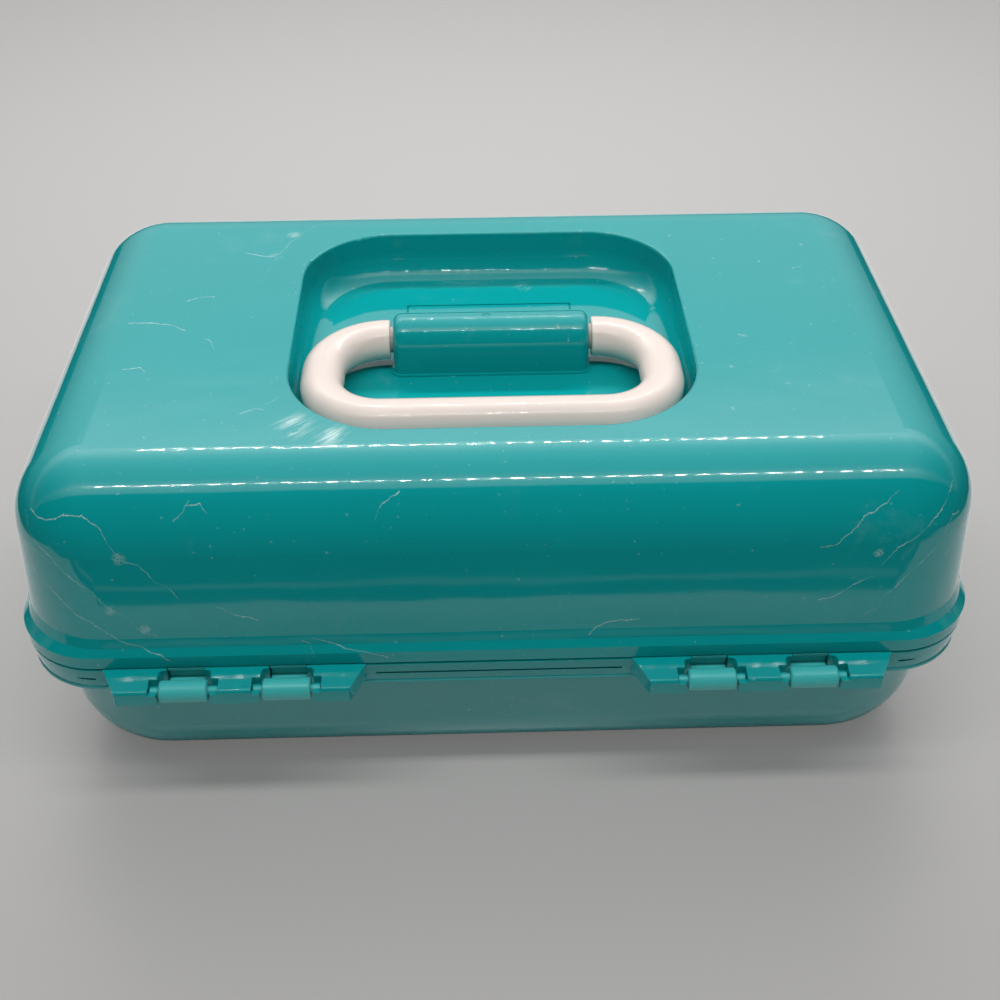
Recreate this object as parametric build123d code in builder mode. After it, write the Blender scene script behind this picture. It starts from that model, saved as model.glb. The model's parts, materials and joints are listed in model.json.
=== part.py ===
from build123d import *
import os
from math import cos, radians, sin, tan

# A hinged makeup case of moulded plastic. Its lid carries a fold-down bail handle in a
# recess and a mirror inside. Opening the lid swings the tray up and back, level.
# Millimetres. +X runs along the case, the hinges face -Y and the latches +Y, z = 0 is
# the surface that the case stands on, and x = y = 0 is the middle of the case.

# ---- driving sizes: the case ----
case_length = 330.0  # outside of the rim, along X
case_depth = 212.4  # outside of the rim, along Y
base_height = 62.0  # up to the seam
lid_height = 69.5  # from the seam to the flat top
wall = 2.5
reach = 10.7  # hinge barrels and latch lips both stand this far out from the rim
seam_gap = 0.5
fit_gap = 0.35  # between parts that slide past or close over each other
pivot_gap = 0.06  # radial play of a rivet, a pin or a journal
overcut = 1.0  # how far a cutting block runs past the face it opens

# ---- base ----
rim_corner = 29.0
rim_band = 10.3  # height of the band below the seam
rim_draft = 8.3
rim_edge = 0.9
rim_bead_height = 0.9  # of the fine bead along the band's lower edge
rim_bead_inset = 1.0
body_inset = 3.3
body_corner = 42.0
body_draft = 7.0
body_round = 30.0
foot_rim_depth = 1.2
foot_rim_inset = 44.0
foot_rim_corner = 24.0
collar_rise = 3.0
groove_size = 0.9
groove_drop = 5.2  # from the seam to the middle of the parting grooves
long_groove = 84.0
short_groove = 6.4
short_groove_end = 24.8  # from the end of the case to the middle of a short groove

# ---- lid ----
hem_height = 4.8
flare_height = 6.7
flare_bend_height = 0.42  # where the flare bends, as a share of its height
flare_bend_inset = 0.72  # and of the wall's inset
flare_bend_corner = 0.6  # and of the way from the rim's corner to the wall's
wall_inset = 2.2
wall_corner = 32.0
lid_draft = 4.4
top_round = 26.5
lid_rim_wall = 3.8
hollow_corner = 30.0
recess_length = 142.8
recess_width = 133.6
recess_depth = 17.7
recess_far_corner = 33.0
recess_near_corner = 37.0
recess_draft = 2.0
recess_round = 10.0
recess_edge = 1.0
panel_groove_length = 65.0
panel_groove_back = 41.0
panel_groove_size = 0.8

# ---- handle and its cover ----
tube_width = 15.4
tube_height = 13.6
bar_radius = 4.8
stub_face = 37.0  # where the tube gives way to the thinner pivot bar
grip_half = 60.2
grip_reach = 51.3
bend_radius = 22.0
handle_drop = 7.8  # from the lid's top down to the pivot line
stub_edge = 0.8
cover_length = 71.8
cover_radius = 9.6
cover_wall = 2.2
cover_edge = 3.0
cover_rib = 1.8
cover_rib_x = 12.0
cover_foot = 0.9  # reach of the thin foot round the cover
cover_foot_height = 0.8
gate_mark_x = -1.5
gate_mark_radius = 1.5
gate_mark_depth = 0.25
bar_gap = 0.3
saddle_thickness = 2.0

# ---- hinges ----
hinge_end = 75.6  # from the end of the case to the middle of a hinge plate
knuckle_half_pitch = 17.2
knuckle_set_in = 0.85  # each pair of knuckles sits this far inwards of its plate's middle
plate_half_back = 44.2
plate_half_front = 39.1
plate_reach = 10.1
plate_height = 7.0
plate_slope = 1.25  # how far a plate's top falls towards its front edge
plate_fold = 1.3
barrel_radius = 3.7
barrel_length = 16.0
barrel_edge = 0.5
barrel_drop = 0.1  # from the base's rim down to the top of the barrels
barrel_gap = 0.9
stub_radius = 1.4
stub_length = 3.2
notch_gap = 0.45
lip_rise = 1.0  # top of the lip before a stub pin, above the hinge axis
cradle_gap = 0.1
arm_inset = 1.6  # the knuckle's upright plate lies this far inside the rim line
arm_thickness = 2.1
arm_width = 12.0
ridge_height = 1.0
tang_rise = 5.0
tang_gap = 0.1
window_back = 6.6
window_drop = 0.9  # the windows reach this far below the plates
window_corner = 1.6

# ---- latches ----
latch_width = 34.0
latch_thickness = 2.6
latch_pivot_rise = 14.0  # above the seam
latch_pivot_out = 4.5  # out from the rim
latch_knuckle = 4.0
latch_drop = 26.5  # from the pivot down to the lip
latch_lip_rise = 1.0  # the lip's outer edge is this much higher than its inner one
latch_lip_hollow = 0.8
latch_belly = 0.6
latch_flare = 0.55  # where the front starts to flare, as a share of the drop
latch_back_flare = 0.62  # and the back
latch_bead_drop = 22.6
latch_bead_radius = 1.3
latch_pin_radius = 1.5
ear_thickness = 3.5
ear_radius = 3.6
ear_root = 6.0
ear_root_radius = 1.0
catch_width = 28.0
catch_reach = 2.8
catch_top = 3.4  # below the seam
catch_height = 3.2

# ---- tray and its swing linkage ----
pivot_back = 38.2  # from the back of the rim to the rear case pivots
pivot_spacing = 76.0
pivot_drop = 7.0  # from the base's rim down to the case pivots
swing_length = 60.0  # from a case pivot to the tray pivot
swing_start = -10.0  # degrees, from +Y towards +Z
lug_y = 36.0  # from the case pivot to the lug that the lid pulls
lug_z = 13.0
strap_radius = 5.0
crank_radius = 6.5
strap_thickness = 2.4
strap_edge = 0.4
strap_gap = 0.3
strap_end = 11.4  # from the end of the case to the outer face of a swing arm
rivet_radius = 2.0
rivet_head_radius = 3.6
rivet_head = 1.3
rivet_dome = 0.78
rivet_grip = 4.0
boss_radius = 5.0
lid_boss_radius = 4.6
tray_side_gap = 4.2  # from a swing arm to the tray's wall
tray_end_gap = 36.4  # the tray is this much shorter than the case along Y
tray_middle_y = 4.0
tray_drop = 26.0  # from the base's rim down to the tray's underside
tray_height = 34.0
tray_corner = 33.0
tray_draft = 2.0
tray_wall = 2.0
tray_round = 5.0
tray_flange = 1.8
tray_flange_height = 1.8
divider = 1.8
divider_drop = 5.0
tray_rows = (62.0, 58.0)  # depths of the back and middle rows; the front one takes the rest
tray_columns = (4, 3, 2)  # compartments in the back, middle and front rows

# ---- mirror ----
frame_length = 118.0
frame_width = 92.0
frame_corner = 9.0
frame_height = 4.0
frame_lip = 5.0
mirror_length = 110.0
mirror_width = 84.0
mirror_corner = 5.0
mirror_thickness = 2.0
mirror_gap = 0.3
mirror_set_back = 0.1  # from the top of the frame down to the glass

# ---- places that follow from the sizes above ----
half_length = case_length / 2
half_depth = case_depth / 2
seam = base_height + seam_gap
lid_top = base_height + lid_height
rim_bottom = base_height - rim_band
hem_top = seam + hem_height
wall_foot = hem_top + flare_height
hollow_inset = body_inset + wall
collar_inset = lid_rim_wall + fit_gap
collar_top = base_height + collar_rise
hinge_x = half_length - hinge_end
hinge_y = -(half_depth + reach - barrel_radius)
hinge_z = base_height - barrel_radius - barrel_drop
plate_bottom = base_height - plate_height
recess_floor = lid_top - recess_depth
handle_z = lid_top - handle_drop
latch_y = half_depth + latch_pivot_out
latch_z = base_height + latch_pivot_rise
knuckle_places = [side * (hinge_x - knuckle_set_in) + step * knuckle_half_pitch
                  for side in (-1, 1) for step in (-1, 1)]
arm_bottom = hinge_z - barrel_radius + cradle_gap
window_bottom = plate_bottom - window_drop
short_groove_x = half_length - short_groove_end
groove_places = ((0, long_groove), (-short_groove_x, short_groove), (short_groove_x, short_groove))
pivot_rear_y = pivot_back - half_depth
front_pivot_y = pivot_rear_y + pivot_spacing
pivot_height = base_height - pivot_drop
tray_bottom = base_height - tray_drop
tray_pivot_dy = swing_length * cos(radians(swing_start))
tray_pivot_dz = swing_length * sin(radians(swing_start))
tray_pivot_z = pivot_height + tray_pivot_dz
crank_lug = (pivot_rear_y + lug_y, pivot_height + lug_z)
lid_lug = (hinge_y + lug_y, hinge_z + lug_z)
arm_face = half_length - strap_end
arm_inner = arm_face - strap_thickness
link_inner = arm_face + strap_gap
link_outer = link_inner + strap_thickness
case_boss_face = arm_face + strap_gap
lid_boss_face = link_outer + strap_gap
tray_boss_face = arm_inner - strap_gap
tray_length = 2 * (arm_inner - tray_side_gap)
tray_width = case_depth - tray_end_gap
frame_top = recess_floor - wall
mirror_top = frame_top - mirror_set_back

os.makedirs("parts", exist_ok=True)


def lid_hollow_inset(height):
    """How far the lid's inner wall lies inside the rim line at a height."""
    return lid_rim_wall + (height - seam) * tan(radians(lid_draft))


def plan(height, inset, corner):
    """The case's plan outline at a height, drawn in from the rim line."""
    with BuildSketch(Plane.XY.offset(height)) as outline:
        RectangleRounded(case_length - 2 * inset, case_depth - 2 * inset, corner)
    return outline.sketch


def recess_plan(height, grow):
    """The handle recess in plan: its two corners by the hinges are the rounder ones."""
    with BuildSketch(Plane.XY.offset(height)) as outline:
        Rectangle(recess_length + 2 * grow, recess_width + 2 * grow)
        fillet(outline.vertices().group_by(Axis.Y)[-1], recess_far_corner + grow)
        fillet(outline.vertices().group_by(Axis.Y)[0], recess_near_corner + grow)
    return outline.sketch


def rod(x_from, x_to, y, z, radius):
    """A round bar along X between two places."""
    with BuildPart() as bar:
        with BuildSketch(Plane.YZ.offset(x_from)):
            with Locations((y, z)):
                Circle(radius)
        extrude(amount=x_to - x_from)
    return bar.part


def block(x_range, y_range, z_range):
    """A plain block between three pairs of limits."""
    with BuildPart() as solid:
        with Locations([(sum(x_range) / 2, sum(y_range) / 2, sum(z_range) / 2)]):
            Box(x_range[1] - x_range[0], y_range[1] - y_range[0], z_range[1] - z_range[0])
    return solid.part


def rivet(side, head_face, head_out, y, z, shank):
    """A rivet along X: its head starts at head_face and its shank runs the other way."""
    with BuildPart() as pin:
        with BuildSketch(Plane.YZ.offset(side * head_face)):
            with Locations((y, z)):
                Circle(rivet_head_radius)
        extrude(amount=side * head_out * rivet_head)
        outer = pin.faces().sort_by(Axis.X)[-1 if side * head_out > 0 else 0]
        chamfer(outer.edges(), rivet_dome)
        with BuildSketch(Plane.YZ.offset(side * head_face)):
            with Locations((y, z)):
                Circle(rivet_radius)
        extrude(amount=-side * head_out * shank)
    return pin.part


def strap(side, inner_face, places, radii):
    """A flat swing arm or link: the hull of round eyes, each with its rivet hole."""
    with BuildPart() as bar:
        with BuildSketch(Plane.YZ.offset(side * inner_face)):
            for place, radius in zip(places, radii):
                with Locations(place):
                    Circle(radius)
            make_hull()
            with Locations(places):
                Circle(rivet_radius + pivot_gap, mode=Mode.SUBTRACT)
        extrude(amount=side * strap_thickness)
        flat_faces = bar.faces().filter_by(Axis.X)
        chamfer([flat.outer_wire().edges() for flat in flat_faces], strap_edge)
    return bar.part


# ---- base shell: a deep moulded tray with a banded rim ----
with BuildPart() as base_hollow:
    extrude(plan(rim_bottom + wall, hollow_inset, body_corner - wall),
            amount=-(rim_bottom - foot_rim_depth), taper=body_draft)
    fillet(base_hollow.faces().sort_by(Axis.Z)[0].edges(), body_round - wall)
    extrude(plan(rim_bottom + wall, hollow_inset, hollow_corner - fit_gap - (hollow_inset - collar_inset)),
            amount=rim_band + collar_rise)

with BuildPart() as base_shell:
    extrude(plan(rim_bottom, body_inset, body_corner), amount=-rim_bottom, taper=body_draft)
    fillet(base_shell.faces().sort_by(Axis.Z)[0].edges(), body_round)
    extrude(plan(base_height, 0, rim_corner), amount=-rim_band, taper=rim_draft)
    fillet(base_shell.faces().sort_by(Axis.Z)[-1].outer_wire().edges(), rim_edge)
    extrude(plan(rim_bottom + rim_bead_height, rim_bead_inset, rim_corner - rim_bead_inset),
            amount=-rim_bead_height)
    # hinge plates
    for side in (-1, 1):
        with BuildSketch(Plane.XY.offset(plate_bottom)):
            with BuildLine():
                Polyline(
                    (side * hinge_x - plate_half_back, -half_depth + wall),
                    (side * hinge_x - plate_half_back, -half_depth),
                    (side * hinge_x - plate_half_front, -half_depth - plate_reach),
                    (side * hinge_x + plate_half_front, -half_depth - plate_reach),
                    (side * hinge_x + plate_half_back, -half_depth),
                    (side * hinge_x + plate_half_back, -half_depth + wall),
                    close=True,
                )
            make_face()
        extrude(amount=plate_height)
    with BuildSketch(Plane.YZ.offset(-half_length)):
        Polygon((-half_depth, base_height), (-half_depth - plate_reach, base_height),
                (-half_depth - plate_reach, base_height - plate_slope), align=None)
    extrude(amount=case_length, mode=Mode.SUBTRACT)
    plate_fronts = base_shell.faces().filter_by(Axis.Y).group_by(Axis.Y)[0]
    fillet(plate_fronts.edges().filter_by(Axis.X).group_by(Axis.Z)[-1], plate_fold)
    # catch ribs that the latches close over
    for side in (-1, 1):
        add(block((side * hinge_x - catch_width / 2, side * hinge_x + catch_width / 2),
                  (half_depth - wall, half_depth + catch_reach),
                  (base_height - catch_top - catch_height, base_height - catch_top)))
    catch_fronts = base_shell.faces().filter_by(Axis.Y).group_by(Axis.Y)[-1]
    chamfer(catch_fronts.edges().filter_by(Axis.X), catch_reach / 3)
    # collar that locates the lid
    extrude(plan(base_height, collar_inset, hollow_corner - fit_gap), amount=collar_rise)
    add(base_hollow.part, mode=Mode.SUBTRACT)
    # pivot bosses on the end walls
    for side in (-1, 1):
        for y in (pivot_rear_y, front_pivot_y):
            add(rod(side * case_boss_face, side * (half_length - collar_inset - wall / 2),
                    y, pivot_height, boss_radius))
            add(rod(side * case_boss_face, side * (case_boss_face + rivet_grip + fit_gap),
                    y, pivot_height, rivet_radius + pivot_gap), mode=Mode.SUBTRACT)
    # a window for each knuckle, with a notch, a low lip and a cradle for its stub pins
    for x in knuckle_places:
        half_window = barrel_length / 2 + barrel_gap
        half_notch = barrel_length / 2 + stub_length + notch_gap
        half_arm = arm_width / 2 + fit_gap
        with BuildSketch(Plane.XY.offset(window_bottom)) as window:
            with Locations((x, -half_depth - reach / 2 - rim_edge / 2)):
                Rectangle(2 * half_window, reach - rim_edge)
            fillet(window.vertices().group_by(Axis.Y)[-1], window_corner)
        extrude(amount=base_height + overcut - window_bottom, mode=Mode.SUBTRACT)
        add(block((x - half_arm, x + half_arm), (-half_depth - overcut, -half_depth + window_back),
                  (window_bottom, collar_top + overcut)), mode=Mode.SUBTRACT)
        add(block((x - half_notch, x + half_notch),
                  (hinge_y - stub_radius - cradle_gap, hinge_y + barrel_radius - wall / 2),
                  (hinge_z, base_height + overcut)), mode=Mode.SUBTRACT)
        add(block((x - half_notch, x + half_notch), (-half_depth - reach, hinge_y),
                  (hinge_z + lip_rise, base_height + overcut)), mode=Mode.SUBTRACT)
        add(rod(x - half_notch, x + half_notch, hinge_y, hinge_z, stub_radius + cradle_gap),
            mode=Mode.SUBTRACT)
    # parting grooves in the back of the rim band
    groove_z = base_height - groove_drop
    for x, length in groove_places:
        add(block((x - length / 2, x + length / 2),
                  (-half_depth - overcut, -half_depth + 2 * groove_size),
                  (groove_z - groove_size / 2, groove_z + groove_size / 2)), mode=Mode.SUBTRACT)
    # standing rim underneath
    extrude(plan(0, foot_rim_inset, foot_rim_corner), amount=foot_rim_depth, mode=Mode.SUBTRACT)
base_shell.part.label = "base_shell"
export_step(base_shell.part, "parts/base_shell.step")

# ---- lid shell: a domed cover with the handle recess sunk into its top ----
with BuildPart() as lid_hollow:
    extrude(plan(seam, lid_rim_wall, hollow_corner), amount=lid_top - wall - seam, taper=lid_draft)
    fillet(lid_hollow.faces().sort_by(Axis.Z)[-1].edges(), top_round - wall)

with BuildPart() as recess_bulge:
    extrude(recess_plan(lid_top - wall / 2, wall), amount=-recess_depth - wall / 2, taper=recess_draft)
    fillet(recess_bulge.faces().sort_by(Axis.Z)[0].edges(), recess_round + wall)

with BuildPart() as recess_pocket:
    extrude(recess_plan(lid_top, 0), amount=-recess_depth, taper=recess_draft)
    fillet(recess_pocket.faces().sort_by(Axis.Z)[0].edges(), recess_round)

with BuildPart() as lid_shell:
    extrude(plan(wall_foot, wall_inset, wall_corner), amount=lid_top - wall_foot, taper=lid_draft)
    fillet(lid_shell.faces().sort_by(Axis.Z)[-1].edges(), top_round)
    loft([
        plan(hem_top, 0, rim_corner),
        plan(hem_top + flare_bend_height * flare_height, flare_bend_inset * wall_inset,
             rim_corner + flare_bend_corner * (wall_corner - rim_corner)),
        plan(wall_foot, wall_inset, wall_corner),
    ], ruled=True)
    extrude(plan(seam, 0, rim_corner), amount=hem_height)
    add(lid_hollow.part, mode=Mode.SUBTRACT)
    add(recess_bulge.part)
    add(recess_pocket.part, mode=Mode.SUBTRACT)
    recess_rim = lid_shell.faces().filter_by(Axis.Z).sort_by(Axis.Z)[-1].inner_wires().edges()
    fillet(recess_rim, recess_edge)
    # saddles under the handle's bar, inside the cover's end walls
    for side in (-1, 1):
        x_inner = side * (cover_length / 2 - saddle_thickness)
        x_outer = side * cover_length / 2
        add(block(sorted((x_inner, x_outer)),
                  (-bar_radius + bar_gap, bar_radius - bar_gap), (recess_floor, handle_z)))
    add(rod(-cover_length / 2, cover_length / 2, 0, handle_z, bar_radius + bar_gap), mode=Mode.SUBTRACT)
    # outline of the moulding insert in the recess floor
    with BuildSketch(Plane.XY.offset(recess_floor - panel_groove_size)):
        with Locations((0, panel_groove_back / 2)):
            Rectangle(panel_groove_length, panel_groove_back)
            Rectangle(panel_groove_length - 2 * panel_groove_size,
                      panel_groove_back - 2 * panel_groove_size, mode=Mode.SUBTRACT)
        Rectangle(panel_groove_length + overcut, 2 * cover_radius, mode=Mode.SUBTRACT)
    extrude(amount=panel_groove_size, mode=Mode.SUBTRACT)
    # latch ears on the front wall
    for side in (-1, 1):
        for end in (-1, 1):
            ear_inner = side * hinge_x + end * (latch_width / 2 + fit_gap)
            root_y = half_depth - lid_hollow_inset(latch_z) + wall / 2 + ear_root_radius
            with BuildSketch(Plane.YZ.offset(ear_inner)):
                with Locations((latch_y, latch_z)):
                    Circle(ear_radius)
                with Locations((root_y, latch_z - ear_root), (root_y, latch_z + ear_root)):
                    Circle(ear_root_radius)
                make_hull()
            extrude(amount=end * ear_thickness)
        pin_reach = latch_width / 2 + fit_gap + ear_thickness
        add(rod(side * hinge_x - pin_reach, side * hinge_x + pin_reach, latch_y, latch_z,
                latch_pin_radius + pivot_gap), mode=Mode.SUBTRACT)
    # bosses for the links that pull the tray
    for side in (-1, 1):
        add(rod(side * lid_boss_face, side * (half_length - lid_hollow_inset(lid_lug[1]) + wall / 2),
                lid_lug[0], lid_lug[1], lid_boss_radius))
        add(rod(side * lid_boss_face, side * (lid_boss_face + rivet_grip + fit_gap),
                lid_lug[0], lid_lug[1], rivet_radius + pivot_gap), mode=Mode.SUBTRACT)
    # pockets in the hem for the knuckles' tangs
    for x in knuckle_places:
        add(block((x - arm_width / 2 - tang_gap, x + arm_width / 2 + tang_gap),
                  (-half_depth + arm_inset - tang_gap, -half_depth + arm_inset + arm_thickness + wall),
                  (seam, seam + tang_rise + tang_gap)), mode=Mode.SUBTRACT)
lid_shell.part.label = "lid_shell"
export_step(lid_shell.part, "parts/lid_shell.step")

# ---- hinge knuckles: a barrel with stub pins, hung from the lid's hem by an upright plate ----
for number, x in enumerate(knuckle_places, start=1):
    half_barrel = barrel_length / 2
    plate_y = (-half_depth + arm_inset, -half_depth + arm_inset + arm_thickness)
    with BuildPart() as knuckle:
        with BuildSketch(Plane.YZ.offset(x - half_barrel)):
            with Locations((hinge_y, hinge_z)):
                Circle(barrel_radius)
        extrude(amount=barrel_length)
        chamfer(knuckle.edges().filter_by(GeomType.CIRCLE), barrel_edge)
        add(rod(x - half_barrel - stub_length, x + half_barrel + stub_length, hinge_y, hinge_z,
                stub_radius))
        add(block((x - arm_width / 2, x + arm_width / 2), (hinge_y, plate_y[1]),
                  (arm_bottom, arm_bottom + arm_thickness)))
        add(block((x - arm_width / 2, x + arm_width / 2), plate_y, (arm_bottom, seam + tang_rise)))
        add(block((x - arm_width / 2, x + arm_width / 2), (-half_depth, plate_y[1]),
                  (base_height - ridge_height, base_height)))
        inner_corner = knuckle.edges().filter_by(Axis.X).sort_by_distance(
            (x, plate_y[1], arm_bottom))[0]
        fillet(inner_corner, arm_thickness / 2)
    knuckle.part.label = f"hinge_knuckle_{number}"
    export_step(knuckle.part, f"parts/hinge_knuckle_{number}.step")

# ---- handle: a bent grip tube on a thinner pivot bar ----
with BuildPart() as handle:
    with BuildLine(Plane.XY.offset(handle_z)) as grip_path:
        FilletPolyline(
            (stub_face, 0), (grip_half, 0), (grip_half, -grip_reach),
            (-grip_half, -grip_reach), (-grip_half, 0), (-stub_face, 0),
            radius=bend_radius,
        )
    with BuildSketch(Plane.YZ.offset(stub_face)):
        with Locations((0, handle_z)):
            SlotOverall(tube_width, tube_height)
    sweep(path=grip_path.wire())
    for side in (-1, 1):
        stub_end = handle.faces().sort_by_distance((side * stub_face, 0, handle_z))[0]
        fillet(stub_end.edges(), stub_edge)
    add(rod(-stub_face - overcut, stub_face + overcut, 0, handle_z, bar_radius))
handle.part.label = "handle"
export_step(handle.part, "parts/handle.step")

# ---- handle cover: a half-round housing over the pivot bar ----
with BuildPart() as handle_cover:
    for half, radius, mode in ((cover_length / 2, cover_radius, Mode.ADD),
                               (cover_length / 2 - cover_wall, cover_radius - cover_wall, Mode.SUBTRACT)):
        with BuildSketch(Plane.YZ.offset(-half)):
            with Locations((0, handle_z)):
                Circle(radius)
            with Locations((0, (recess_floor + handle_z) / 2)):
                Rectangle(2 * radius, handle_z - recess_floor)
        extrude(amount=2 * half, mode=mode)
        if mode == Mode.ADD:
            for end in (0, -1):
                end_face = handle_cover.faces().sort_by(Axis.X)[end]
                rim = end_face.edges().filter_by(lambda edge: edge.center().Z > recess_floor + cover_wall)
                fillet(rim, cover_edge)
            with BuildSketch(Plane.XY.offset(recess_floor)):
                RectangleRounded(cover_length + 2 * cover_foot, 2 * (cover_radius + cover_foot),
                                 cover_edge + cover_foot)
            extrude(amount=cover_foot_height)
    for x in (-cover_rib_x, cover_rib_x):
        add(rod(x - cover_rib / 2, x + cover_rib / 2, 0, handle_z, cover_radius - cover_wall / 2))
        add(block((x - cover_rib / 2, x + cover_rib / 2),
                  (-cover_radius + cover_wall / 2, cover_radius - cover_wall / 2),
                  (recess_floor, handle_z)))
    with BuildSketch(Plane.XY.offset(handle_z + cover_radius - gate_mark_depth)):
        with Locations((gate_mark_x, 0)):
            Circle(gate_mark_radius)
    extrude(amount=gate_mark_depth, mode=Mode.SUBTRACT)
    slot_half = bar_radius + bar_gap
    add(rod(-cover_length / 2, cover_length / 2, 0, handle_z, slot_half), mode=Mode.SUBTRACT)
    add(block((-cover_length / 2, cover_length / 2), (-slot_half, slot_half),
              (recess_floor, handle_z)), mode=Mode.SUBTRACT)
handle_cover.part.label = "handle_cover"
export_step(handle_cover.part, "parts/handle_cover.step")

# ---- latches: curved flaps on steel pins, each with a bead that snaps below the catch rib ----
for side, name in ((-1, "left"), (1, "right")):
    with BuildPart() as latch:
        lip = (half_depth + reach, latch_z - latch_drop + latch_lip_rise)
        toe = (half_depth + reach - latch_thickness, latch_z - latch_drop)
        back_y = half_depth + catch_reach + 2 * fit_gap + latch_bead_radius
        with BuildSketch(Plane.YZ.offset(side * hinge_x - latch_width / 2)):
            with BuildLine():
                front = Line((latch_y + latch_knuckle, latch_z),
                             (back_y + latch_thickness + latch_belly, latch_z - latch_drop * latch_flare))
                TangentArc(front @ 1, lip, tangent=front % 1)
                Line(lip, toe)
                back_foot = (back_y, latch_z - latch_drop * latch_back_flare)
                ThreePointArc(toe, ((toe[0] + back_foot[0]) / 2 - latch_lip_hollow,
                                    (toe[1] + back_foot[1]) / 2), back_foot)
                Polyline(back_foot, (back_y, latch_z), (latch_y + latch_knuckle, latch_z))
            make_face()
            with Locations((latch_y, latch_z)):
                Circle(latch_knuckle)
            with Locations((back_y, latch_z - latch_bead_drop)):
                Circle(latch_bead_radius)
            with Locations((latch_y, latch_z)):
                Circle(latch_pin_radius + pivot_gap, mode=Mode.SUBTRACT)
        extrude(amount=latch_width)
    latch.part.label = f"latch_{name}"
    export_step(latch.part, f"parts/latch_{name}.step")

    pin_half = latch_width / 2 + fit_gap + ear_thickness
    with BuildPart() as latch_pin:
        add(rod(side * hinge_x - pin_half, side * hinge_x + pin_half, latch_y, latch_z,
                latch_pin_radius))
    latch_pin.part.label = f"latch_pin_{name}"
    export_step(latch_pin.part, f"parts/latch_pin_{name}.step")

# ---- tray: compartments, with a boss for each swing arm ----
with BuildPart() as tray_hollow:
    with BuildSketch(Plane.XY.offset(tray_bottom + tray_wall)):
        with Locations((0, tray_middle_y)):
            RectangleRounded(tray_length - 2 * tray_wall - 2 * tray_height * tan(radians(tray_draft)),
                             tray_width - 2 * tray_wall - 2 * tray_height * tan(radians(tray_draft)),
                             tray_corner - tray_wall)
    extrude(amount=tray_height, taper=-tray_draft)
    fillet(tray_hollow.faces().sort_by(Axis.Z)[0].edges(), tray_round - tray_wall)

with BuildPart() as tray:
    with BuildSketch(Plane.XY.offset(tray_bottom)):
        with Locations((0, tray_middle_y)):
            RectangleRounded(tray_length - 2 * tray_height * tan(radians(tray_draft)),
                             tray_width - 2 * tray_height * tan(radians(tray_draft)), tray_corner)
    extrude(amount=tray_height, taper=-tray_draft)
    fillet(tray.faces().sort_by(Axis.Z)[0].edges(), tray_round)
    with BuildSketch(Plane.XY.offset(tray_bottom + tray_height - tray_flange_height)):
        with Locations((0, tray_middle_y)):
            RectangleRounded(tray_length + 2 * tray_flange, tray_width + 2 * tray_flange,
                             tray_corner + tray_flange)
    extrude(amount=tray_flange_height)
    boss_root = tray_length / 2 - tray_corner / 3
    for side in (-1, 1):
        for y in (pivot_rear_y, front_pivot_y):
            add(rod(side * boss_root, side * tray_boss_face, y + tray_pivot_dy, tray_pivot_z,
                    boss_radius))
    add(tray_hollow.part, mode=Mode.SUBTRACT)
    # dividers
    inner_length = tray_length - 2 * tray_wall
    inner_width = tray_width - 2 * tray_wall
    row_edges = [tray_middle_y - inner_width / 2]
    for depth in tray_rows:
        row_edges.append(row_edges[-1] + depth)
    row_edges.append(tray_middle_y + inner_width / 2)
    divider_z = (tray_bottom + tray_wall / 2, tray_bottom + tray_height - divider_drop)
    for y in row_edges[1:-1]:
        add(block((-inner_length / 2 + tray_wall / 2, inner_length / 2 - tray_wall / 2),
                  (y - divider / 2, y + divider / 2), divider_z))
    for columns, y_low, y_high in zip(tray_columns, row_edges[:-1], row_edges[1:]):
        for column in range(1, columns):
            x = -inner_length / 2 + column * inner_length / columns
            add(block((x - divider / 2, x + divider / 2),
                      (y_low + tray_wall / 2, y_high - tray_wall / 2), divider_z))
    for side in (-1, 1):
        for y in (pivot_rear_y, front_pivot_y):
            add(rod(side * (tray_boss_face - rivet_grip), side * tray_boss_face,
                    y + tray_pivot_dy, tray_pivot_z, rivet_radius + pivot_gap), mode=Mode.SUBTRACT)
tray.part.label = "tray"
export_step(tray.part, "parts/tray.step")

# ---- swing arms, links and their rivets ----
rear_places = [(pivot_rear_y, pivot_height),
               (pivot_rear_y + tray_pivot_dy, tray_pivot_z), crank_lug]
front_places = [(front_pivot_y, pivot_height), (front_pivot_y + tray_pivot_dy, tray_pivot_z)]
case_rivets = []
tray_rivets = []
lid_rivets = []
for side, name in ((-1, "left"), (1, "right")):
    rear_arm = strap(side, arm_inner, rear_places, (crank_radius, strap_radius, strap_radius))
    rear_arm.label = f"arm_rear_{name}"
    export_step(rear_arm, f"parts/arm_rear_{name}.step")

    front_arm = strap(side, arm_inner, front_places, (strap_radius, strap_radius))
    front_arm.label = f"arm_front_{name}"
    export_step(front_arm, f"parts/arm_front_{name}.step")

    link = strap(side, link_inner, [lid_lug, crank_lug], (strap_radius, strap_radius))
    link.label = f"drag_link_{name}"
    export_step(link, f"parts/drag_link_{name}.step")

    link_rivet = rivet(side, link_outer, 1, crank_lug[0], crank_lug[1],
                       2 * strap_thickness + 2 * strap_gap)
    link_rivet.label = f"link_rivet_{name}"
    export_step(link_rivet, f"parts/link_rivet_{name}.step")

    head_face = arm_inner - strap_gap / 2
    for y in (pivot_rear_y, front_pivot_y):
        case_rivets.append(rivet(side, head_face, -1, y, pivot_height,
                                 case_boss_face + rivet_grip - head_face))
        tray_rivets.append(rivet(side, arm_face + strap_gap / 2, 1, y + tray_pivot_dy, tray_pivot_z,
                                 strap_thickness + strap_gap + rivet_grip))
    lid_rivets.append(rivet(side, link_inner - strap_gap / 2, -1, lid_lug[0], lid_lug[1],
                            lid_boss_face + rivet_grip - link_inner + strap_gap / 2))

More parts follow.
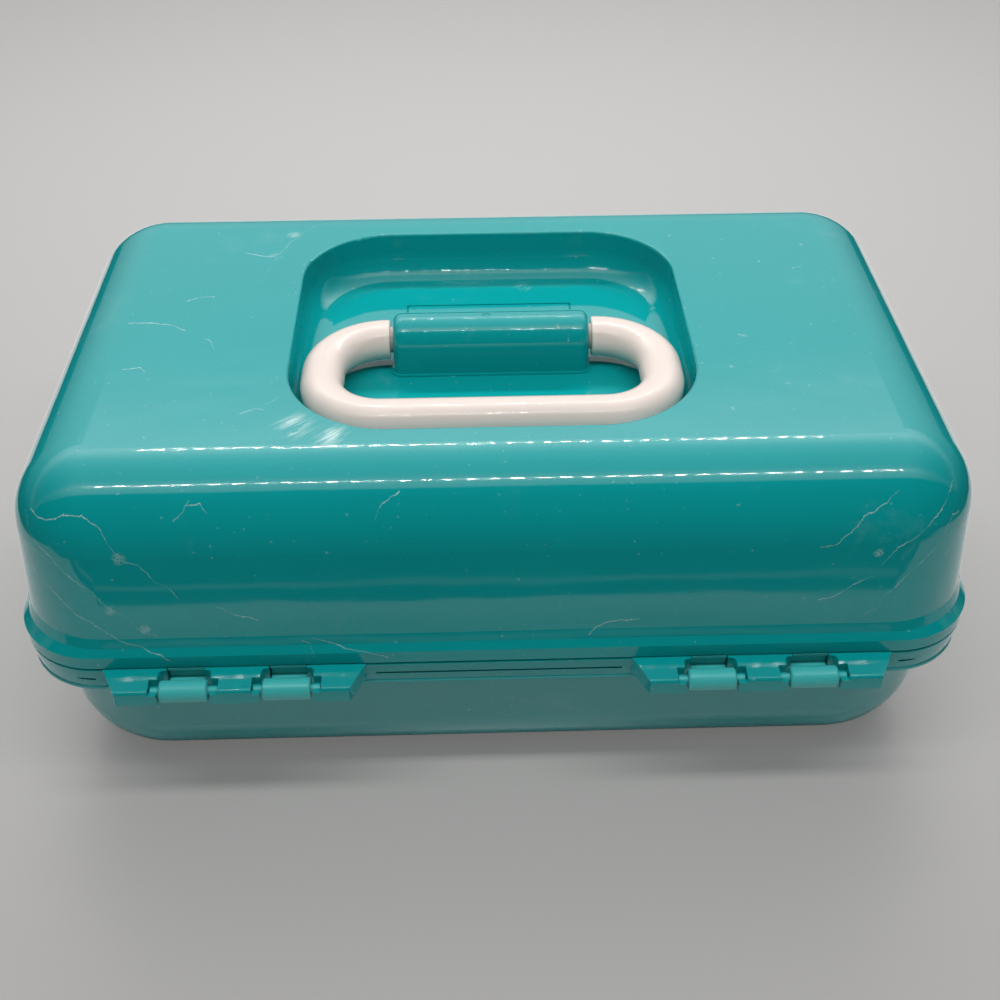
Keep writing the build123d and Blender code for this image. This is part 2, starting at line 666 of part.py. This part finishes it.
for name, rivets in (("case_rivets", case_rivets), ("tray_rivets", tray_rivets),
                     ("lid_rivets", lid_rivets)):
    with BuildPart() as rivet_set:
        add(rivets)
    rivet_set.part.label = name
    export_step(rivet_set.part, f"parts/{name}.step")

# ---- mirror in its frame, under the recess ----
with BuildPart() as mirror_frame:
    with BuildSketch(Plane.XY.offset(frame_top - frame_height)):
        RectangleRounded(frame_length, frame_width, frame_corner)
        RectangleRounded(mirror_length - 2 * frame_lip, mirror_width - 2 * frame_lip, mirror_corner,
                         mode=Mode.SUBTRACT)
    extrude(amount=frame_height)
    outer_edges = mirror_frame.faces().sort_by(Axis.Z)[0].outer_wire().edges()
    fillet(outer_edges, frame_height / 3)
    with BuildSketch(Plane.XY.offset(frame_top)):
        RectangleRounded(mirror_length + 2 * mirror_gap, mirror_width + 2 * mirror_gap,
                         mirror_corner + mirror_gap)
    extrude(amount=-(mirror_thickness + mirror_gap), mode=Mode.SUBTRACT)
mirror_frame.part.label = "mirror_frame"
export_step(mirror_frame.part, "parts/mirror_frame.step")

with BuildPart() as mirror_glass:
    with BuildSketch(Plane.XY.offset(mirror_top)):
        RectangleRounded(mirror_length, mirror_width, mirror_corner)
    extrude(amount=-mirror_thickness)
mirror_glass.part.label = "mirror"
export_step(mirror_glass.part, "parts/mirror.step")
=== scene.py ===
import json
from math import cos, radians, sin

import bpy
from mathutils import Matrix, Vector


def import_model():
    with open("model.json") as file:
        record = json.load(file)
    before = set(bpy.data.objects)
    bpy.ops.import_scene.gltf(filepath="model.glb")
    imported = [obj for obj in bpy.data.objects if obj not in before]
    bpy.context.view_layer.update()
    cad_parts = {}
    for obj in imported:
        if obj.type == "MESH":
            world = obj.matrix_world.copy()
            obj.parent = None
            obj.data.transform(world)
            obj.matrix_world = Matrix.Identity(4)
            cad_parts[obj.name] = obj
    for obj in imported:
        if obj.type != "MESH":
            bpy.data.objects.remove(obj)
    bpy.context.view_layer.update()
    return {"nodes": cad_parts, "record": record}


# A hinged makeup case of turquoise plastic with a cream bail handle, seen from behind and above.
# Metres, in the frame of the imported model: +X along the case, hinges towards -Y, z = 0 the floor.

MM = 0.001

# ---- camera ----
CAMERA_PLACE = Vector((-7.42, -428.19, 391.3)) * MM
CAMERA_YAW = radians(1.41)  # from +Y towards +X
CAMERA_PITCH = radians(38.85)  # below the horizon
CAMERA_ROLL = radians(-0.30)
SENSOR_WIDTH = 36
FOCAL_LENGTH = 48.665
CLIP_RANGE = (0.01, 50)

# ---- floor ----
FLOOR_HALF = 4.0
FLOOR_COLOUR = (0.78, 0.76, 0.745, 1)
FLOOR_MOTTLE = (3.0, 3.0)  # waves per metre and octaves
FLOOR_SHADE = 0.97
FLOOR_ROUGHNESS = 0.40
FLOOR_SHOWN = 0.40  # how much of the floor's own colour the camera sees
FLOOR_GLOW = 0.19  # and how much plain background light is added to it
BACKGROUND = (0.85, 0.84, 0.83, 1)  # what the camera sees past the floor

# ---- soft light ----
CEILING_HEIGHT = 0.65
ROW_PLACES = (0.436, -0.222)  # y of the two rows of lamps
ROW_NAMES = ("back_row", "front_row")
ROW_POWERS = (4.7, 2.4)  # watts of soft light from each row
ROW_LIGHT_SIZE = (0.8, 0.06)
OVERHEAD_HEIGHT = 2.6
OVERHEAD_SIDE = 5.0
OVERHEAD_POWER = 28.0
DIFFUSE_SURROUND = 0.05

# ---- what reflections see: small lamps, the dim end of the table, and a lit box ----
LAMP_PITCH = 0.0167
LAMP_SIZE = (0.0055, 0.0040)
LAMP_ROW_HALF = 0.30
LAMP_GLOW = 330.0
TABLE_EDGE = -0.232  # the bright table ends here, towards the camera
TABLE_SIDE = 0.40
TABLE_STRIPE = (-0.2475, -0.2425)
TABLE_STRIPE_HALF = 0.35
CARD_REACH = 3.0
CARD_END = -3.5
CARD_LIFT = 0.0005  # the dim cards lie this far above the floor
STRIPE_LIFT = 0.001
DIM_GREY = (0.02, 0.02, 0.02, 1)
STRIPE_GREY = (0.30, 0.30, 0.30, 1)
WHITE = (1, 1, 1, 1)
# Brightness by the angle from +Y up and over towards -Y, in degrees
SURROUND = ((-180, 0.01), (-20, 0.30), (0, 0.40), (20, 0.90), (33, 1.10), (36, 2.0), (44, 3.0),
            (49, 2.4), (57, 1.6), (66, 1.15), (80, 0.85), (95, 0.80), (101, 1.5), (104, 2.2),
            (109, 1.5), (114.5, 1.3), (116.5, 0.02), (180, 0.01))
SURROUND_PEAK = 3.0
SIDE_START = 0.30  # how far a direction leans to a side before the surround starts to dim
SIDE_END = 0.95
SIDE_SHADE = 0.16  # the surround's brightness at the far left and right, as a share

# ---- colours ----
TEAL = (0.003, 0.335, 0.345, 1)
TEAL_SATIN = (0.055, 0.50, 0.49, 1)
TEAL_PALE = (0.55, 0.72, 0.70, 1)  # where it is scratched or rubbed
CREAM = (0.81, 0.705, 0.645, 1)
CREAM_PALE = (0.86, 0.80, 0.74, 1)
# pale grey for the case's low part: partly rubbed haze, partly painted light cast up from the floor
HAZE_AND_PAINTED_BOUNCE_COLOUR = (0.75, 0.75, 0.74, 1)
STEEL = (0.52, 0.52, 0.53, 1)
SILVER = (0.92, 0.94, 0.94, 1)
SILVER_SMEARED = (0.86, 0.89, 0.89, 1)

# ---- plastic: a noise is (waves per metre, octaves, roughness and, where given, distortion) ----
PLASTIC_IOR = 1.49
CLOUD = (9.0, 4.0, 0.55)
CLOUD_EDGES = (0.30, 0.72)
CLOUD_SHADE = 0.95
RUB = (26.0, 8.0, 0.68, 0.6)
RUB_EDGES = (0.58, 0.80)
RUB_STRENGTH = 0.08
SPECK = (520.0, 2.0, 0.5)
SPECK_EDGES = (0.70, 0.80)
SPECK_STRENGTH = 0.26
# below these heights the case turns pale grey: partly rubbed haze, partly painted light cast up from the
# floor
HAZE_AND_PAINTED_BOUNCE_HEIGHTS = (0.060, 0.045)
HAZE_AND_PAINTED_BOUNCE_STRENGTH = 0.075
GLOSS_EDGES = (0.35, 0.75)  # of the rub noise
GLOSS_SPREAD = (0.85, 1.6)  # times the finish's own roughness
WORN_ROUGHNESS = 0.4
PEEL = (900.0, 2.0, 0.5)
PEEL_HEIGHT = 0.010
SINK = (34.0, 2.0, 0.45)
SINK_STRETCH = (0.5, 1, 1)  # sink waves are longer along the case
SINK_HEIGHT = 0.7
WEAR_HEIGHT = -0.04
PLASTIC_BUMP = (0.4, 0.0006)  # strength and distance

# ---- steel and mirror ----
GRAIN_STRETCH = (300, 2500, 2500)
GRAIN = (1.0, 3.0)
GRAIN_SHADE = 0.8
GRAIN_EDGES = (0.2, 0.8)
GRAIN_SPREAD = (0.8, 1.3)
STEEL_BUMP = (0.2, 0.0001)
SMEAR_STRETCH = (1, 2.2, 1)
SMEAR = (30.0, 6.0, 0.6, 1.2)
SMEAR_EDGES = (0.4, 0.8)
SMEAR_ROUGHNESS = (0.015, 0.08)

# ---- marks on the case, in millimetres, each picked in the photograph ----
# On the wall by the hinges a scratch's points are (x, z); on the lid's top they are (x, y).
WALL_SCRATCHES = (
    ((-149, 119), (-143, 118), (-137, 121), (-131, 121), (-126, 118), (-124, 114), (-122, 109),
     (-119, 106), (-115, 104), (-113, 101), (-111, 98), (-106, 94), (-104, 90)),
    ((-151, 118), (-150, 113), (-148, 109), (-143, 106), (-140, 101), (-136, 98), (-132, 94),
     (-128, 88), (-126, 86), (-123, 84), (-120, 79), (-116, 76), (-113, 75)),
    ((-153, 98), (-148, 94), (-143, 89), (-139, 84), (-135, 82), (-130, 77), (-125, 73),
     (-114, 68), (-110, 65)),
    ((-103, 119), (-99, 122), (-97, 124)),
    ((-98, 123), (-94, 123), (-92, 121)),
    ((-92, 87), (-88, 84), (-85, 83), (-79, 81)),
    ((-39, 118), (-37, 122), (-34, 124), (-31, 125)),
    ((125, 98), (129, 105), (133, 107), (139, 113), (144, 118), (147, 122)),
    ((122, 78), (126, 80), (128, 86), (132, 90), (137, 97), (144, 104)),
    ((104, 106), (109, 107), (114, 112), (117, 116), (121, 118), (128, 123)),
    ((145, 108), (147, 113), (150, 113)),
    ((147, 98), (149, 101), (153, 107)),
    ((106, 84), (110, 85), (113, 87), (119, 92), (123, 94)),
    ((30, 72), (33, 75), (38, 77), (47, 78)),
    ((-66, 72), (-63, 70), (-62, 65)),
    ((-62, 73), (-57, 71), (-54, 70), (-48, 68), (-37, 65)),
)
TOP_SCRATCHES = (
    ((-87, 30), (-86, 37), (-83, 51), (-79, 62), (-73, 72), (-70, 76)),
    ((-96, 54), (-89, 51), (-84, 50)),
    ((-133, 2), (-124, 2), (-117, 0), (-111, -4)),
    ((-114, 17), (-109, 20), (-104, 20)),
    ((-85, -57), (-80, -54), (-77, -55)),
    ((-77, -52), (-73, -48)),
    ((-129, -29), (-123, -28), (-121, -31)),
    ((-104, -9), (-101, -11), (-99, -17)),
    ((97, -38), (101, -35)),
    ((118, 34), (122, 36)),
    ((89, -13), (93, -15)),
)
# Bruises with small cracks, and scuffs: the middle of each, and its radius
STAR_MARKS = (
    ((-121, -103, 107), 5.0),
    ((-127, -102, 86), 4.0),
    ((-117, -103, 78), 4.0),
    ((-139, -104, 85), 3.0),
    ((123, -102, 103), 3.0),
    ((125, 53, 131), 2.0),
    ((91, -14, 131), 2.5),
    ((101, -45, 131), 2.0),
    ((83, -34, 131), 2.0),
    ((106, 40, 131), 1.5),
)
SCUFFS = (
    ((-66, -65, 131), 10.0),
    ((-54, -70, 131), 9.0),
    ((-78, 68, 131), 4.0),
    ((-84, 50, 131), 4.0),
    ((14, 54, 116), 5.0),
)
SCRATCH_WIDTH = 0.26
SCRATCH_END = 1.0  # past its last point a scratch's curve takes this far to jump aside
SCRATCH_JUMP = 400.0  # and jumps so far that it is off the case

# ---- how the marks look, in metres and waves per metre ----
WALL_MASK = (-0.070, -0.075)  # wall scratches show beyond this y
TOP_MASK = (0.110, 0.115)  # top scratches show above this z
SHAKE = (170.0, 5.0, 0.7)
SHAKE_REACH = 0.0035
BREAKS = (120.0, 3.0, 0.6)
BREAK_EDGES = (0.36, 0.58)
BREAK_FLOOR = 0.25
LINE_STRENGTH = 0.75
CRACK_SCALE = 900.0
CRACK_WIDTH = 0.35  # as a share of a crack cell
STAR_NOISE = (260.0, 4.0, 0.6)
STAR_EDGES = (0.14, 0.45)
STAR_STRENGTH = 0.4
STROKE_TURN = -0.75
STROKE_STRETCH = (60, 420, 200)
STROKES = (1.0, 5.0, 0.65, 0.6)
STROKE_EDGES = (0.42, 0.68)
SCUFF_STRENGTH = 0.95

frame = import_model()
nodes = frame["nodes"]


# ---- node helpers ----
class Tree:
    """A material's or the world's node tree, with short calls for adding and joining nodes."""

    def __init__(self, owner):
        owner.use_nodes = True
        self.tree = owner.node_tree
        self.tree.nodes.clear()

    def add(self, kind, settings=None, **inputs):
        """Adds a node. settings are its properties; inputs are values or sockets by name."""
        made = self.tree.nodes.new("ShaderNode" + kind)
        for key, value in (settings or {}).items():
            setattr(made, key, value)
        for key, value in inputs.items():
            name = key.replace("_", " ")
            found = [s for s in made.inputs if s.name.lower() == name.lower() and s.enabled]
            self.set(found[0], value)
        return made

    def set(self, socket, value):
        """Links a socket to another socket, or gives it a value."""
        if isinstance(value, bpy.types.NodeSocket):
            self.tree.links.new(value, socket)
        else:
            socket.default_value = value

    def math(self, operation, first, second=0.5, third=0.5):
        made = self.add("Math", {"operation": operation})
        for socket, value in zip(made.inputs, (first, second, third)):
            self.set(socket, value)
        return made.outputs[0]

    def vector(self, operation, first, second):
        made = self.add("VectorMath", {"operation": operation})
        self.set(made.inputs[0], first)
        self.set(made.inputs[1], second)
        return made.outputs["Value" if operation == "DISTANCE" else "Vector"]

    def scaled(self, vector, scale):
        made = self.add("VectorMath", {"operation": "SCALE"})
        self.set(made.inputs[0], vector)
        self.set(made.inputs["Scale"], scale)
        return made.outputs["Vector"]

    def ramp(self, value, edges, ends=(0.0, 1.0), shape="SMOOTHSTEP"):
        """Goes from the first of ends to the second as value goes from the first edge to the second."""
        made = self.add("MapRange", {"interpolation_type": shape})
        for socket, number in zip(made.inputs, (value, *edges, *ends)):
            self.set(socket, number)
        return made.outputs[0]

    def largest(self, values):
        found = values[0]
        for value in values[1:]:
            found = self.math("MAXIMUM", found, value)
        return found

    def noise(self, place, scale, detail, roughness=0.5, distortion=0.0):
        made = self.add("TexNoise", Vector=place, Scale=scale, Detail=detail, Roughness=roughness,
                        Distortion=distortion)
        return made.outputs[0]

    def blend(self, factor, first, second):
        """A colour between first and second."""
        made = self.add("Mix", {"data_type": "RGBA"})
        for socket, value in zip((made.inputs[0], made.inputs[6], made.inputs[7]), (factor, first, second)):
            self.set(socket, value)
        return made.outputs[2]

    def bump(self, skin, height, amount):
        """Gives the shader the relief of height. amount is its strength and distance."""
        made = self.add("Bump", Strength=amount[0], Distance=amount[1], Height=height)
        self.set(skin.inputs["Normal"], made.outputs[0])

    def place(self):
        """The point on the object, in the frame of the case at rest."""
        return self.add("TexCoord").outputs["Object"]

    def parts(self, vector):
        split = self.add("SeparateXYZ", Vector=vector)
        return [split.outputs[axis] for axis in "XYZ"]

    def finish(self, shader, output="OutputMaterial"):
        end = self.add(output)
        self.tree.links.new(shader.outputs[0], end.inputs["Surface"])


def new_material(name):
    material = bpy.data.materials.new(name)
    return material, Tree(material)


def shaded(colour, share):
    return tuple(c * share for c in colour[:3]) + (1,)


def times(pair, factor):
    return tuple(value * factor for value in pair)


# ---- marks ----
def scratch(t, run, across, points):
    """The strength of one scratch: a curve that gives its place across from its place along."""
    before = (points[0][0] - SCRATCH_END, points[0][1] - SCRATCH_JUMP)
    after = (points[-1][0] + SCRATCH_END, points[-1][1] - SCRATCH_JUMP)
    reach = [before, *points, after]
    first, last = before[0], after[0]
    low, high = min(q for _, q in reach), max(q for _, q in reach)
    path = t.add("FloatCurve")
    curve = path.mapping.curves[0]
    while len(curve.points) < len(reach):
        curve.points.new(0.5, 0.5)
    for knot, (along, aside) in zip(curve.points, reach):
        knot.location = ((along - first) / (last - first), (aside - low) / (high - low))
        knot.handle_type = "VECTOR"
    path.mapping.update()
    t.set(path.inputs["Value"], t.ramp(run, times((first, last), MM), shape="LINEAR"))
    aside = t.math("MULTIPLY_ADD", path.outputs[0], (high - low) * MM, low * MM)
    distance = t.math("ABSOLUTE", t.math("SUBTRACT", across, aside))
    return t.ramp(distance, (0.0, SCRATCH_WIDTH * MM), (1.0, 0.0))


def spots(t, place, centres):
    """Round patches that fade out from each centre."""
    fields = []
    for centre, radius in centres:
        distance = t.vector("DISTANCE", place, times(centre, MM))
        fields.append(t.ramp(distance, (0.0, radius * MM), (1.0, 0.0)))
    return t.largest(fields)


def scratches(t, place, shaken):
    x, y, z = t.parts(shaken)
    wall = t.largest([scratch(t, x, z, points) for points in WALL_SCRATCHES])
    top = t.largest([scratch(t, x, y, points) for points in TOP_SCRATCHES])
    lines = t.math("MAXIMUM", t.math("MULTIPLY", wall, t.ramp(y, WALL_MASK)),
                   t.math("MULTIPLY", top, t.ramp(z, TOP_MASK)))
    broken = t.ramp(t.noise(place, *BREAKS), BREAK_EDGES, (BREAK_FLOOR, 1.0))
    return t.math("MULTIPLY", t.math("MULTIPLY", lines, broken), LINE_STRENGTH)


def bruises(t, place, shaken):
    """Clusters of small cracks."""
    cells = t.add("TexVoronoi", {"feature": "DISTANCE_TO_EDGE"}, Vector=shaken, Scale=CRACK_SCALE)
    cracks = t.ramp(cells.outputs["Distance"], (0.0, CRACK_WIDTH), (1.0, 0.0))
    cluster = t.math("MULTIPLY", spots(t, place, STAR_MARKS), t.noise(place, *STAR_NOISE))
    return t.math("MULTIPLY", t.math("MULTIPLY", cracks, t.ramp(cluster, STAR_EDGES)), STAR_STRENGTH)


def scuffs(t, place):
    """Patches of parallel pale strokes."""
    turned = t.add("VectorRotate", {"rotation_type": "Z_AXIS"}, Vector=place, Angle=STROKE_TURN)
    strokes = t.noise(t.vector("MULTIPLY", turned.outputs[0], STROKE_STRETCH), *STROKES)
    patches = t.math("MULTIPLY", spots(t, place, SCUFFS), t.ramp(strokes, STROKE_EDGES))
    return t.math("MULTIPLY", patches, SCUFF_STRENGTH)


def case_wear(t, place):
    """The marks on the case's outside. Their lines are shaken a little so that they look torn."""
    shake = t.add("TexNoise", Vector=place, Scale=SHAKE[0], Detail=SHAKE[1], Roughness=SHAKE[2])
    offset = t.vector("SUBTRACT", shake.outputs["Color"], (0.5, 0.5, 0.5))
    shaken = t.vector("ADD", place, t.scaled(offset, SHAKE_REACH))
    return t.largest([scratches(t, place, shaken), bruises(t, place, shaken), scuffs(t, place)])


# ---- materials ----
def moulded_plastic(name, colour, pale, roughness, wear, marks=None):
    """Plastic with slight sink waves, fine texture, rubbed patches and specks.
    marks adds the case's own marks, and a pale grey low down that is partly rubbed haze and partly painted
    light cast up from the floor."""
    material, t = new_material(name)
    place = t.place()
    cloud = t.ramp(t.noise(place, *CLOUD), CLOUD_EDGES)
    tinted = t.blend(cloud, shaded(colour, CLOUD_SHADE), colour)

    rub = t.noise(place, *RUB)
    rubbed = t.math("MULTIPLY", t.ramp(rub, RUB_EDGES), RUB_STRENGTH * wear)
    speck = t.ramp(t.noise(place, *SPECK), SPECK_EDGES, (0.0, SPECK_STRENGTH * wear))
    worn = t.math("MAXIMUM", rubbed, speck)
    if marks:
        worn = t.math("MAXIMUM", worn, marks(t, place))
        # paler low down: partly rubbed haze, partly painted light cast up from the floor
        haze_and_painted_bounce = t.ramp(t.parts(place)[2], HAZE_AND_PAINTED_BOUNCE_HEIGHTS, (0.0, HAZE_AND_PAINTED_BOUNCE_STRENGTH))
        tinted = t.blend(haze_and_painted_bounce, tinted, HAZE_AND_PAINTED_BOUNCE_COLOUR)

    gloss = t.ramp(rub, GLOSS_EDGES, times(GLOSS_SPREAD, roughness))
    rough = t.math("ADD", gloss, t.math("MULTIPLY", worn, WORN_ROUGHNESS))
    skin = t.add("BsdfPrincipled", Base_Color=t.blend(worn, tinted, pale), Roughness=rough, IOR=PLASTIC_IOR)
    peel = t.math("MULTIPLY", t.noise(place, *PEEL), PEEL_HEIGHT)
    sink = t.math("MULTIPLY", t.noise(t.vector("MULTIPLY", place, SINK_STRETCH), *SINK), SINK_HEIGHT)
    dents = t.math("MULTIPLY", worn, WEAR_HEIGHT)
    t.bump(skin, t.math("ADD", t.math("ADD", peel, sink), dents), PLASTIC_BUMP)
    t.finish(skin)
    return material


def metal(name, colour, roughness):
    """Drawn steel with a fine turned grain."""
    material, t = new_material(name)
    grain = t.noise(t.vector("MULTIPLY", t.place(), GRAIN_STRETCH), *GRAIN)
    tone = t.blend(grain, colour, shaded(colour, GRAIN_SHADE))
    rough = t.ramp(grain, GRAIN_EDGES, times(GRAIN_SPREAD, roughness))
    skin = t.add("BsdfPrincipled", Base_Color=tone, Metallic=1.0, Roughness=rough)
    t.bump(skin, grain, STEEL_BUMP)
    t.finish(skin)
    return material


def mirror_silver(name):
    """Silvered glass with faint smears."""
    material, t = new_material(name)
    smear = t.noise(t.vector("MULTIPLY", t.place(), SMEAR_STRETCH), *SMEAR)
    tone = t.blend(smear, SILVER_SMEARED, SILVER)
    rough = t.ramp(smear, SMEAR_EDGES, SMEAR_ROUGHNESS)
    t.finish(t.add("BsdfPrincipled", Base_Color=tone, Metallic=1.0, Roughness=rough))
    return material


def finishes():
    """The material of each slot in the record."""
    return {
        "teal_gloss": moulded_plastic("turquoise_gloss", TEAL, TEAL_PALE, 0.045, 1.0, case_wear),
        "teal_satin": moulded_plastic("turquoise_satin", TEAL_SATIN, TEAL_PALE, 0.36, 0.7),
        "cream_gloss": moulded_plastic("cream_gloss", CREAM, CREAM_PALE, 0.07, 0.5),
        "cream_satin": moulded_plastic("cream_satin", CREAM, CREAM_PALE, 0.30, 0.4),
        "steel": metal("plain_steel", STEEL, 0.3),
        "mirror_glass": mirror_silver("mirror_silver"),
    }


def dress_nodes():
    """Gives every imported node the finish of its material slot."""
    materials = finishes()
    for part in frame["record"]["subparts"]:
        for slot in nodes[part["node"]].material_slots:
            slot.material = materials[part["material_slot"]]


# ---- stage ----
def stage_mesh(name, quads, material):
    """A stage piece of separate four-sided faces."""
    mesh = bpy.data.meshes.new(name)
    corners = [corner for quad in quads for corner in quad]
    mesh.from_pydata(corners, [], [tuple(range(4 * i, 4 * i + 4)) for i in range(len(quads))])
    piece = bpy.data.objects.new(name, mesh)
    bpy.context.scene.collection.objects.link(piece)
    mesh.materials.append(material)
    return piece


def flat_quad(x_low, x_high, y_low, y_high, z):
    """A level face that looks up."""
    return [(x_low, y_low, z), (x_high, y_low, z), (x_high, y_high, z), (x_low, y_high, z)]


def floor_material():
    """A plain pale board. To the camera, part of its light is an even glow that softens shadows."""
    material, t = new_material("studio_floor")
    mottle = t.noise(t.place(), *FLOOR_MOTTLE)
    board = t.blend(mottle, FLOOR_COLOUR, shaded(FLOOR_COLOUR, FLOOR_SHADE))
    seen = t.add("LightPath").outputs["Is Camera Ray"]
    shown = t.scaled(board, t.ramp(seen, (0, 1), (1.0, FLOOR_SHOWN), "LINEAR"))
    skin = t.add("BsdfPrincipled", Base_Color=shown, Roughness=FLOOR_ROUGHNESS)
    t.set(skin.inputs["Emission Color"], FLOOR_COLOUR)
    t.set(skin.inputs["Emission Strength"], t.math("MULTIPLY", seen, FLOOR_GLOW))
    t.finish(skin)
    return material


def reflected_only(name, quads, colour, strength=1.0):
    """Glowing faces that only reflections see, from the front. From behind they are clear."""
    material, t = new_material(name)
    glow = t.add("Emission", Color=colour, Strength=strength)
    mix = t.add("MixShader")
    t.set(mix.inputs[0], t.add("NewGeometry").outputs["Backfacing"])
    t.set(mix.inputs[1], glow.outputs[0])
    t.set(mix.inputs[2], t.add("BsdfTransparent").outputs[0])
    t.finish(mix)
    piece = stage_mesh(name, quads, material)
    for ray in ("camera", "diffuse", "shadow", "transmission", "volume_scatter"):
        setattr(piece, "visible_" + ray, False)


def lamp_quads():
    """The small lamps of both rows, facing down."""
    count = int(2 * LAMP_ROW_HALF / LAMP_PITCH)
    half_x, half_y = times(LAMP_SIZE, 0.5)
    quads = []
    for y in ROW_PLACES:
        for i in range(count + 1):
            x = (i - count / 2) * LAMP_PITCH
            quads.append(flat_quad(x - half_x, x + half_x, y - half_y, y + half_y, CEILING_HEIGHT)[::-1])
    return quads


def stage():
    floor = flat_quad(-FLOOR_HALF, FLOOR_HALF, -FLOOR_HALF, FLOOR_HALF, 0)
    stage_mesh("floor", [floor], floor_material())
    cards = [flat_quad(-CARD_REACH, CARD_REACH, CARD_END, TABLE_EDGE, CARD_LIFT),
             flat_quad(-CARD_REACH, -TABLE_SIDE, TABLE_EDGE, CARD_REACH, CARD_LIFT),
             flat_quad(TABLE_SIDE, CARD_REACH, TABLE_EDGE, CARD_REACH, CARD_LIFT)]
    reflected_only("dim_table", cards, DIM_GREY)
    stripe = flat_quad(-TABLE_STRIPE_HALF, TABLE_STRIPE_HALF, *TABLE_STRIPE, STRIPE_LIFT)
    reflected_only("table_stripe", [stripe], STRIPE_GREY)
    reflected_only("lamp_rows", lamp_quads(), WHITE, LAMP_GLOW)


# ---- light and camera ----
def area_light(name, place, size, power):
    """A soft light that shines straight down. Reflections see the stage's lamps instead of it."""
    light = bpy.data.lights.new(name, "AREA")
    light.shape = "RECTANGLE"
    light.size, light.size_y = size
    light.energy = power
    holder = bpy.data.objects.new(name, light)
    bpy.context.scene.collection.objects.link(holder)
    holder.location = place
    holder.visible_glossy = False


def lights():
    area_light("overhead", (0, 0, OVERHEAD_HEIGHT), (OVERHEAD_SIDE, OVERHEAD_SIDE), OVERHEAD_POWER)
    for name, y, power in zip(ROW_NAMES, ROW_PLACES, ROW_POWERS):
        area_light(name, (0, y, CEILING_HEIGHT), ROW_LIGHT_SIZE, power)


def surround_levels(t, angle):
    """The surround's brightness at an angle, as a share of its peak."""
    levels = t.add("ValToRGB")
    t.set(levels.inputs[0], t.ramp(angle, (radians(-180), radians(180)), shape="LINEAR"))
    stops = levels.color_ramp.elements
    while len(stops) < len(SURROUND):
        stops.new(0.5)
    for stop, (degrees, brightness) in zip(stops, SURROUND):
        stop.position = (degrees + 180) / 360
        stop.color = (brightness / SURROUND_PEAK,) * 3 + (1,)
    return levels.outputs[0]


def world():
    """Reflections see a lit box, dim at its sides and behind the camera. Other light is plain."""
    surround = bpy.data.worlds.new("studio_surround")
    bpy.context.scene.world = surround
    t = Tree(surround)
    x, y, z = t.parts(t.add("TexCoord").outputs["Generated"])
    levels = surround_levels(t, t.math("ARCTAN2", z, y))
    aside = t.ramp(t.math("ABSOLUTE", x), (SIDE_START, SIDE_END), (1.0, SIDE_SHADE))
    mirrored = t.scaled(levels, t.math("MULTIPLY", aside, SURROUND_PEAK))
    rays = t.add("LightPath")
    plain = (DIFFUSE_SURROUND,) * 3 + (1,)
    shade = t.blend(rays.outputs["Is Glossy Ray"], plain, mirrored)
    shade = t.blend(rays.outputs["Is Camera Ray"], shade, BACKGROUND)
    t.finish(t.add("Background", Color=shade, Strength=1.0), "OutputWorld")


def camera():
    """The photograph's camera: its place, its direction, and a slight roll."""
    level = Vector((cos(CAMERA_YAW), -sin(CAMERA_YAW), 0))
    ahead = Vector((sin(CAMERA_YAW), cos(CAMERA_YAW), 0))
    forward = cos(CAMERA_PITCH) * ahead - Vector((0, 0, sin(CAMERA_PITCH)))
    upright = level.cross(forward)
    right = cos(CAMERA_ROLL) * level + sin(CAMERA_ROLL) * upright
    up = -sin(CAMERA_ROLL) * level + cos(CAMERA_ROLL) * upright
    data = bpy.data.cameras.new("camera")
    data.sensor_width = SENSOR_WIDTH
    data.lens = FOCAL_LENGTH
    data.clip_start, data.clip_end = CLIP_RANGE
    holder = bpy.data.objects.new("camera", data)
    bpy.context.scene.collection.objects.link(holder)
    turn = Matrix((right, up, -forward)).transposed().to_4x4()
    holder.matrix_world = Matrix.Translation(CAMERA_PLACE) @ turn
    bpy.context.scene.camera = holder


dress_nodes()
stage()
lights()
world()
camera()
bpy.context.scene.view_settings.view_transform = "Standard"
